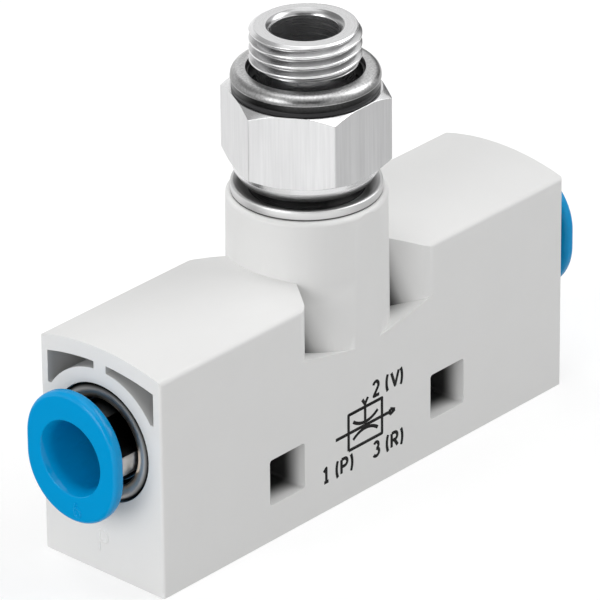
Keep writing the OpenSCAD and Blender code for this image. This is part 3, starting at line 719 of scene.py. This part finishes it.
def swept_ring(name, turns, loop, place):
    """A watertight ring. Loop is a closed profile, or gives one for each turn, and place maps
    (radius, height, turn) to a point."""
    points = []
    for turn in turns:
        points += [Vector(place(r, z, turn)) * mm for r, z in (loop(turn) if callable(loop) else loop)]
    rows = len(points) // len(turns)
    faces = []
    for i in range(len(turns)):
        here, there = i * rows, (i + 1) % len(turns) * rows
        faces += [(here + j, there + j, there + (j + 1) % rows, here + (j + 1) % rows) for j in range(rows)]
    mesh = bpy.data.meshes.new(name)
    mesh.from_pydata(points, [], faces)
    work = bmesh.new()
    work.from_mesh(mesh)
    bmesh.ops.recalc_face_normals(work, faces=work.faces)
    work.to_mesh(mesh)
    work.free()
    mesh.shade_smooth()
    return mesh


def even_turns(count, start=0.0):
    """Angles at even steps round a full turn."""
    return [start + 2 * math.pi * i / count for i in range(count)]


def oval(radius, stretch, turn):
    """Distance from the centre to the outline of two discs and the straight piece between them."""
    if radius * abs(math.tan(turn)) <= stretch:
        return radius / abs(math.cos(turn))
    return stretch * abs(math.sin(turn)) + math.sqrt(radius ** 2 - (stretch * math.cos(turn)) ** 2)


def at_end(side):
    """Places a ring on a connector's axis, with heights measured inward from that end's face."""
    def place(r, z, turn):
        return (side * (block_end - z), r * math.cos(turn), bore_axis_z + r * math.sin(turn))
    return place


ring_profile = filleted([
    (ring_mouth_r, -ring_front, 0.25), (flange_r, -ring_front, flange_rim_r),
    (flange_r, -ring_back, flange_rim_r), (shank_outer_r, -ring_back, 0.08),
    (shank_outer_r, ring_shank_end, 0.08), (ring_bore_r, ring_shank_end, 0.08),
    (ring_bore_r, -ring_front + ring_mouth_l, 2.5),
], 6)


def ring_loop(turn):
    """The flange's outer part follows the oval and its inner part the bore's circle."""
    loop = []
    for r, z in ring_profile:
        share = min(1, max(0, (r - shank_outer_r - oval_start) / oval_run))
        loop.append((r + (oval(r, flange_stretch, turn) - r) * share, z))
    return loop


def on_ring_face(side):
    """Places strokes on a ring's face, turned about its axis and read from outside."""
    def place(u, v, out):
        across = u * math.cos(digit_tilt) - v * math.sin(digit_tilt)
        rise = u * math.sin(digit_tilt) + v * math.cos(digit_tilt)
        return (side * (block_end + ring_front + out), side * across, bore_axis_z + rise)
    return place


ring_plastic = moulded_plastic(
    "blue_acetal", ring_blue, roughness=0.3, cloud=0.015, grain=0.3, grain_per_mm=9.0, relief=0.002,
    ior=1.45, specular=0.02)
nodes, link, surface = tree_of(ring_plastic)
surface.inputs["Coat Weight"].default_value = 0.35
surface.inputs["Coat Roughness"].default_value = 0.06
size_strokes = sign_strokes("6", -digit_w / 2, digit_middle - digit_h / 2, digit_w, digit_h)
for end_name, side in (("supply", -1), ("exhaust", 1)):
    body = end_name + "_release"
    ring_name, size_name = end_name + "_release_button", end_name + "_tube_size"
    ring_mesh = swept_ring(ring_name, even_turns(round_turn_count), ring_loop, at_end(side))
    ring_mesh.materials.append(ring_plastic)
    ring = object_from(ring_name, ring_mesh, body, "release_ring", end_name + "_release_ring")
    smooth_flats(ring)
    size_mesh = strokes_mesh(size_name, size_strokes, digit_width, digit_proud, on_ring_face(side))
    size_mesh.materials.append(ring_plastic)
    object_from(size_name, size_mesh, body, "release_ring")

# ---- collets ----------------------------------------------------------------
# Thin spring steel round the ring's shank. The raised legs show the bright steel; the wall between them is
# painted near black, a painted shade for the dark gap behind the flange, and the collet is painted darker
# towards its top, a painted shade for the dark it reflects there.

collet_leg_r = 3.76
collet_wall_r = 3.64
steel_bright = (0.9, 0.9, 0.9, 1)
# Painted shade: the near black of the wall between the legs.
collet_gap_shade = 0.02


def make_turned_rings():
    """Fine tool lines of a lathe, round the axis Z of a point in millimetres."""
    tree, start, end = socket_group("turned_rings", [
        ("Point", "Vector", (0, 0, 0)), ("Lines per mm", "Float", 12.0), ("Wander", "Float", 0.05),
    ], [("Lines", "Float"), ("Bands", "Float")])
    nodes, link = tree.nodes, tree.links.new
    x, y, z = split(nodes, link, start.outputs["Point"])
    wander = math_node(nodes, link, "MULTIPLY", x, start.outputs["Wander"])
    across = nodes.new("ShaderNodeCombineXYZ")
    fill_inputs(across, link, (from_axis(nodes, link, start.outputs["Point"]), z, wander))
    for label, share in (("Lines", 1.0), ("Bands", 0.22)):
        scale = math_node(nodes, link, "MULTIPLY", start.outputs["Lines per mm"], share)
        link(noise_mask(tree, across.outputs[0], scale, 2), end.inputs[label])
    return tree


turned_rings = make_turned_rings()


def connector_point(nodes, link):
    """The surface point in millimetres, turned so that Z runs along the connectors' axis and Y upwards."""
    x, y, z = split(nodes, link, millimetre_point(nodes, link))
    turned = nodes.new("ShaderNodeCombineXYZ")
    fill_inputs(turned, link, (y, math_node(nodes, link, "SUBTRACT", z, bore_axis_z), x))
    return turned.outputs[0]


def turned_metal(name, colour, roughness, lines_per_mm, relief, point=millimetre_point, tone=0.08):
    """Metal with a lathe's tool lines round its axis."""
    material, nodes, link, surface = new_surface(name)
    cut = place_group(nodes, link, turned_rings, point, Lines_per_mm=lines_per_mm).outputs
    link(shaded(nodes, link, cut["Bands"], colour, 1 - tone, 1 + tone), surface.inputs["Base Color"])
    link(between(nodes, link, cut["Lines"], roughness * 0.7, roughness * 1.3), surface.inputs["Roughness"])
    link(bumped(nodes, link, cut["Lines"], relief), surface.inputs["Normal"])
    surface.inputs["Metallic"].default_value = 1
    return material


def tone_along(material, point, **tones):
    """Tones a metal by its distance from the axis Z, by its height along it, or by its rise along Y."""
    nodes, link, surface = tree_of(material)
    here = point(nodes, link)
    x, rise, height = split(nodes, link, here)
    measures = {"distance": from_axis(nodes, link, here), "height": height, "rise": rise}
    for label, stops in tones.items():
        dimmed(nodes, link, surface, measures[label], stops)


def keep_nodes(material, *nodes):
    """Shows CAD parts as they are, in a finish of their own."""
    for node in nodes:
        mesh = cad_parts[node].data
        mesh.materials.clear()
        mesh.materials.append(material)


collet_steel = turned_metal("collet_steel", steel_bright, 0.34, 10.0, 0.001, connector_point)
tone_along(
    collet_steel, connector_point,
    distance=[(collet_wall_r - 0.1, collet_gap_shade), (collet_wall_r + 0.02, collet_gap_shade), (collet_leg_r, 1)],
    rise=[(-4, 1), (0, 1), (1.2, 0.12), (4, 0.12)])
keep_nodes(collet_steel, "supply_collet", "exhaust_collet")

# ---- retaining sleeves ------------------------------------------------------
# Turned brass cups with a rolled mouth, bright nickel plated, pressed into the
# housing round each collet.

nickel = (0.94, 0.94, 0.94, 1)

sleeve_nickel = turned_metal("sleeve_nickel", nickel, 0.42, 8.0, 0.001, connector_point)
# Painted light on the rolled mouth, by distance from the axis: near black in the shadow at its inner edge and
# in the gap at the housing's rim, a painted highlight just outside the inner edge, and a warm tint in the
# middle band that cancels the ring's blue reflection. It also darkens upwards, a painted shade for the dark
# ring that it reflects.
tone_along(
    sleeve_nickel, connector_point,
    distance=[
        (3.9, 0.02), (4, 0.05), (4.06, 1), (4.2, (1, 0.88, 0.75)), (4.4, (0.95, 0.8, 0.65)),
        (4.75, (0.95, 0.87, 0.8)), (4.95, 0.6), (5.12, 0.2), (5.25, 0.02), (5.5, 0.02)],
    rise=[(-5, 1), (-1.5, 1), (1, 0.85), (3, 0.6), (5, 0.42)])
keep_nodes(sleeve_nickel, "supply_sleeve", "exhaust_sleeve")

# ---- backing rings and jet nozzle -------------------------------------------
# Turned from bare free-cutting brass. The rings hold the tube seals in place and
# the nozzle is pressed into the housing.

brass = (0.62, 0.43, 0.16, 1)

bare_brass = turned_metal("bare_brass", brass, 0.28, 9.0, 0.002, connector_point, tone=0.12)
keep_nodes(bare_brass, "supply_backing_ring", "exhaust_backing_ring", "jet_nozzle")

# ---- receiver nozzle --------------------------------------------------------
# Turned from bare aluminium alloy and pressed into the housing from the exhaust
# end, in line with the jet.

nozzle_grey = (0.76, 0.77, 0.79, 1)

nozzle_alloy = turned_metal("nozzle_alloy", nozzle_grey, 0.3, 9.0, 0.002, connector_point)
keep_nodes(nozzle_alloy, "receiver_nozzle")

# ---- rubber seals -----------------------------------------------------------
# Moulded black nitrile rubber: the tube seals, the two nozzles' O-rings and the
# O-ring in the stem's lower groove.

rubber_black = (0.012, 0.012, 0.013, 1)


def rubber(name, roughness, grain_per_mm):
    """Moulded rubber with a dull, slightly mottled skin."""
    return moulded_plastic(
        name, rubber_black, roughness, cloud=0.25, grain=0.6, grain_per_mm=grain_per_mm, relief=0.004,
        specular=0.35)


seal_rubber = rubber("seal_rubber", 0.5, 6.0)
keep_nodes(
    seal_rubber, "supply_tube_seal", "exhaust_tube_seal", "jet_nozzle_seal", "receiver_nozzle_seal",
    "stem_seal")

# ---- insert ring ------------------------------------------------------------
# A turned alloy ring pressed in the tower. Its rim lies on the tower's top and
# its dished mouth guides the nipple's stem.

insert_low = 23.4
insert_lip_low = 27.02
insert_lip_top = 27.87
insert_lip_r = 6.6
insert_skirt_r = 5.98
insert_skirt_chamfer = 0.25
insert_bore_r = 5.1
dish_r = 6.35
dish_z = 27.35
insert_grey = (0.66, 0.66, 0.66, 1)


def upright(r, z, turn):
    """A place round the tower's axis."""
    return (r * math.cos(turn), r * math.sin(turn), z)


def turned_piece(name, turns, loop, materials, body, slot_name, node):
    """A ring round the tower's axis that stands for a CAD part. Returns its mesh."""
    mesh = swept_ring(name, turns, loop, upright)
    for material in materials:
        mesh.materials.append(material)
    smooth_flats(object_from(name, mesh, body, slot_name, node))
    return mesh


insert_profile = filleted([
    (insert_bore_r, insert_low, 0.05), (insert_skirt_r - insert_skirt_chamfer, insert_low, 0.05),
    (insert_skirt_r, insert_low + insert_skirt_chamfer, 0.05), (insert_skirt_r, insert_lip_low, 0.03),
    (insert_lip_r, insert_lip_low, 0.06), (insert_lip_r, insert_lip_top, 0.12),
    (dish_r, insert_lip_top, 0.05), (insert_bore_r, dish_z, 0.1),
])
insert_alloy = turned_metal("insert_alloy", insert_grey, 0.42, 9.0, 0.003)
# Painted shade: the dish darkens towards the stem, under the nipple's collar, and the ring is near black
# below its lip.
tone_along(
    insert_alloy, millimetre_point,
    distance=[(5.4, 0.3), (5.8, 0.6), (6.1, 1), (dish_r - 0.03, 1)],
    height=[(insert_lip_low - 0.1, 0.03), (insert_lip_low + 0.08, 0.06), (insert_lip_low + 0.16, 0.92),
            (insert_lip_top, 1)])
turned_piece(
    "tower_guide_ring", even_turns(round_turn_count), insert_profile, [insert_alloy],
    "housing", "alloy", "tower_insert_ring")

# ---- swivel nipple ----------------------------------------------------------
# Turned from drawn hexagon bar: a grooved stem, a coned collar, the hexagon and
# a G1/8 thread with its real right-handed helix.

stem_foot_z = 17.8
stem_foot_r = 4.55
stem_r = 5.05
stem_step_z = 21.55
seal_groove_low, seal_groove_top, seal_groove_r = 18.9, 20.05, 3.65
clip_groove_low, clip_groove_top, clip_groove_r = 22.56, 23.4, 4.4
collar_low_z = 28.45
collar_foot_r = 5.85
collar_r = 6.4
collar_land = 0.5
hex_low_z = 29.9
hex_top_z = 36.65
hex_half = 6.5
hex_face_r = 6.6
hex_corner_r = 0.15
hex_slope = math.tan(math.radians(30))
hex_turn = math.radians(1.25)
undercut_r = 4.25
nipple_bore_r = 2.95
countersink_r = 3.4
thread_low_z = 38.95
thread_start_l = 0.3
nipple_top_z = 42.45
thread_r = 4.864
thread_pitch = 0.907
thread_depth = 0.581
thread_chamfer = 0.4
thread_row = 0.035
# The thread's form sharpened to a point stands proud of its cut-off crest by this
# share of the pitch.
thread_sharp_share = 0.16
crest_z = 40.56
crest_turn = math.radians(-138.2)
flank = math.tan(math.radians(27.5))
bore_rows = 24
nipple_turn_count = 192
corner_steps = (-0.58, -0.29, 0.29, 0.58)
turned_grey = (0.75, 0.75, 0.755, 1)
drawn_grey = (0.725, 0.725, 0.73, 1)
thread_grey = (0.78, 0.78, 0.785, 1)


def hex_radius(turn):
    """Distance from the axis to the hexagon's side, whose corners are slightly rounded."""
    from_corner = (turn - hex_turn + math.pi / 6) % (math.pi / 3) - math.pi / 6
    flat = hex_half / math.cos(math.pi / 6 - abs(from_corner))
    centre = (hex_half - hex_corner_r) / math.cos(math.pi / 6)
    reach = hex_corner_r ** 2 - (centre * math.sin(from_corner)) ** 2
    return min(flat, centre * math.cos(from_corner) + math.sqrt(reach)) if reach > 0 else flat


def thread_radius(z, turn):
    """Radius of the helical thread, cut off by its run-in and by the end's chamfer."""
    along = (z - crest_z - thread_pitch * (turn - crest_turn) / (2 * math.pi)) / thread_pitch
    from_crest = abs(along - round(along)) * thread_pitch
    sharp = thread_r + thread_sharp_share * thread_pitch - from_crest / flank
    cut = min(thread_r, max(thread_r - thread_depth, sharp))
    run_in = undercut_r + (z - thread_low_z) / thread_start_l * (thread_r - undercut_r)
    run_out = thread_r - thread_chamfer + nipple_top_z - z
    return min(cut, run_in, run_out)


def nipple_loop(turn):
    """The nipple's closed profile at one turn, up the outside and down the bore."""
    side = hex_radius(turn)
    face = min(hex_face_r, side - 0.03)
    drop = (side - face) * hex_slope
    outside = filleted([
        (nipple_bore_r, stem_foot_z, 0.1), (stem_foot_r, stem_foot_z, 0.3),
        (stem_foot_r, seal_groove_low, 0.04), (seal_groove_r, seal_groove_low, 0.04),
        (seal_groove_r, seal_groove_top, 0.04), (stem_foot_r, seal_groove_top, 0.04),
        (stem_foot_r, stem_step_z, 0.04), (stem_r, stem_step_z, 0.04),
        (stem_r, clip_groove_low, 0.03), (clip_groove_r, clip_groove_low, 0.03),
        (clip_groove_r, clip_groove_top, 0.03), (stem_r, clip_groove_top, 0.03),
        (stem_r, collar_low_z, 0.05), (collar_foot_r, collar_low_z, 0.08),
        (collar_r, hex_low_z - collar_land, 0.1), (collar_r, hex_low_z, 0.04),
        (face, hex_low_z, 0.04), (side, hex_low_z + drop, 0.05), (side, hex_top_z - drop, 0.05),
        (face, hex_top_z, 0.05), (undercut_r, hex_top_z, 0.1), (undercut_r, thread_low_z, 0),
    ], 3)
    rows = round((nipple_top_z - thread_low_z) / thread_row)
    heights = [thread_low_z + (nipple_top_z - thread_low_z) * i / rows for i in range(1, rows)]
    thread = [(thread_radius(z, turn), z) for z in heights]
    end_r = thread_radius(nipple_top_z, turn)
    mouth = [(end_r, nipple_top_z), (end_r - 0.04, nipple_top_z), (countersink_r + 0.04, nipple_top_z),
             (countersink_r, nipple_top_z), (nipple_bore_r, nipple_top_z - countersink_r + nipple_bore_r)]
    bore = [(nipple_bore_r, nipple_top_z - 0.5 - i) for i in range(bore_rows)]
    return outside + thread + mouth + bore


corner_turns = [hex_turn + math.radians(60 * k + s) for k in range(6) for s in corner_steps]
nipple_turns = sorted(t % (2 * math.pi) for t in even_turns(nipple_turn_count, hex_turn) + corner_turns)


def make_drawn_streaks():
    """Long streaks that a drawing die leaves along Z, from a point in millimetres."""
    tree, start, end = socket_group("drawn_streaks", [
        ("Point", "Vector", (0, 0, 0)), ("Streaks per mm", "Float", 5.0),
    ], [("Streaks", "Float"), ("Patches", "Float")])
    nodes, link = tree.nodes, tree.links.new
    for label, stretch, share in (("Streaks", 0.03, 1.0), ("Patches", 0.25, 0.12)):
        squeezed = vector_node(nodes, link, "MULTIPLY", start.outputs["Point"], (1, 1, stretch))
        scale = math_node(nodes, link, "MULTIPLY", start.outputs["Streaks per mm"], share)
        link(noise_mask(tree, squeezed, scale, 3), end.inputs[label])
    return tree


drawn_streaks = make_drawn_streaks()

drawn_bar, nodes, link, surface = new_surface("drawn_bar")
die = place_group(nodes, link, drawn_streaks).outputs
link(shaded(nodes, link, die["Patches"], drawn_grey, 0.93, 1.07), surface.inputs["Base Color"])
link(between(nodes, link, die["Streaks"], 0.3, 0.5), surface.inputs["Roughness"])
link(bumped(nodes, link, die["Streaks"], 0.006), surface.inputs["Normal"])
surface.inputs["Metallic"].default_value = 1
dimmed(nodes, link, surface, die["Streaks"], [(0.3, 0.9), (0.7, 1)])

turned_alloy = turned_metal("turned_alloy", turned_grey, 0.25, 10.0, 0.003)
# Painted shade: the stem is near black where it shows in the dish below the collar, the collar's foot is a
# little darker, and the countersink is painted half as bright.
tone_along(
    turned_alloy, millimetre_point,
    height=[
        (stem_foot_z, 0.5), (27.1, 0.8), (27.45, 0.45), (27.8, 0.1), (28.0, 0.03),
        (collar_low_z - 0.02, 0.03), (collar_low_z + 0.04, 0.75), (collar_low_z + 0.5, 0.9),
        (hex_low_z, 1)],
    distance=[
        (nipple_bore_r, 1), (nipple_bore_r + 0.05, 0.5), (countersink_r - 0.04, 0.5),
        (countersink_r + 0.02, 1)])

thread_alloy = turned_metal("thread_alloy", thread_grey, 0.24, 10.0, 0.003)
# Painted shade: the thread darkens from its crests down into its roots.
tone_along(thread_alloy, millimetre_point, distance=[
    (thread_r - thread_depth, 0.45), (thread_r - 0.3, 0.65), (thread_r - 0.1, 0.8), (thread_r, 1)])

nipple_mesh = turned_piece(
    "threaded_nipple", nipple_turns, nipple_loop, [turned_alloy, drawn_bar, thread_alloy],
    "nipple", "alloy", "vacuum_nipple")
for face in nipple_mesh.polygons:
    from_middle = math.hypot(face.center.x, face.center.y) / mm
    height = face.center.z / mm
    if from_middle > hex_half - 0.02 and abs(face.normal.z) < 0.3:
        face.material_index = 1
    elif (from_middle > thread_r - thread_depth - 0.05
            and thread_low_z < height < nipple_top_z - thread_chamfer - 0.02):
        face.material_index = 2

# ---- retaining clip ---------------------------------------------------------
# An open ring of spring steel in the stem's upper groove, which keeps the nipple
# in the tower.

clip_grey = (0.5, 0.5, 0.51, 1)

clip_steel = turned_metal("clip_steel", clip_grey, 0.35, 6.0, 0.002)
keep_nodes(clip_steel, "nipple_retaining_clip")

# ---- bonded seal's carrier --------------------------------------------------
# A zinc-plated steel ring that holds the rubber against the port's face. Its
# shoulder is rounded and a machined waist runs below it.

carrier_low = 37.12
carrier_top = 38.57
carrier_r = 6.5
carrier_bore_r = 5.15
carrier_shoulder_r = 0.75
carrier_bead_l = 0.1
carrier_waist_r = 6.44
shoulder_z = carrier_top - carrier_shoulder_r
bead_z = shoulder_z - carrier_bead_l
zinc_grey = (0.7, 0.7, 0.7, 1)

carrier_profile = filleted([
    (carrier_bore_r, carrier_low, 0.04), (carrier_waist_r, carrier_low, 0.05),
    (carrier_waist_r, bead_z, 0.02), (carrier_r, bead_z, 0.02),
    (carrier_r, carrier_top, carrier_shoulder_r), (carrier_bore_r, carrier_top, 0.05),
], 6)
carrier_steel = turned_metal("carrier_steel", zinc_grey, 0.3, 7.0, 0.004, tone=0.12)
# Painted light, toned by height: near black at the waist, partly its darker finish and partly painted shade;
# a painted highlight along the bead; a painted dark reflection at the shoulder's foot; and brightest at the
# top face.
tone_along(carrier_steel, millimetre_point, height=[
    (carrier_low, 0.03), (bead_z - 0.02, 0.1), (shoulder_z - 0.08, 0.8), (shoulder_z + 0.02, 0.35),
    (carrier_top - 0.25, 0.6), (carrier_top - 0.05, 1)])
nodes, link, surface = tree_of(carrier_steel)
skin = place_group(nodes, link, fine_grain, Grain_per_mm=5.0).outputs
dimmed(nodes, link, surface, skin["Grain"], [(0.3, 0.6), (0.7, 1)])
turned_piece(
    "seal_ring", even_turns(round_turn_count), carrier_profile, [carrier_steel],
    "nipple", "seal_metal", "thread_seal_carrier")

# ---- bonded seal's rubber ---------------------------------------------------
# Black nitrile rubber vulcanised to the carrier: a lining with a thin lip, and a
# foot that seals on the hexagon's face.

lining_r = 4.9
lining_outer_r = carrier_bore_r - 0.02
lining_top = 38.12
foot_low = 36.67
foot_top = 37.1
foot_r = 6.42

lining_profile = filleted([
    (lining_r, foot_low, 0.08), (foot_r, foot_low, 0.1), (foot_r, foot_top, 0.05),
    (lining_outer_r, foot_top, 0.02), (lining_outer_r, lining_top, 0.05), (lining_r, lining_top, 0.05),
])
turned_piece(
    "seal_lining", even_turns(round_turn_count), lining_profile, [rubber("lining_rubber", 0.42, 4.0)],
    "nipple", "rubber", "thread_seal_rubber")
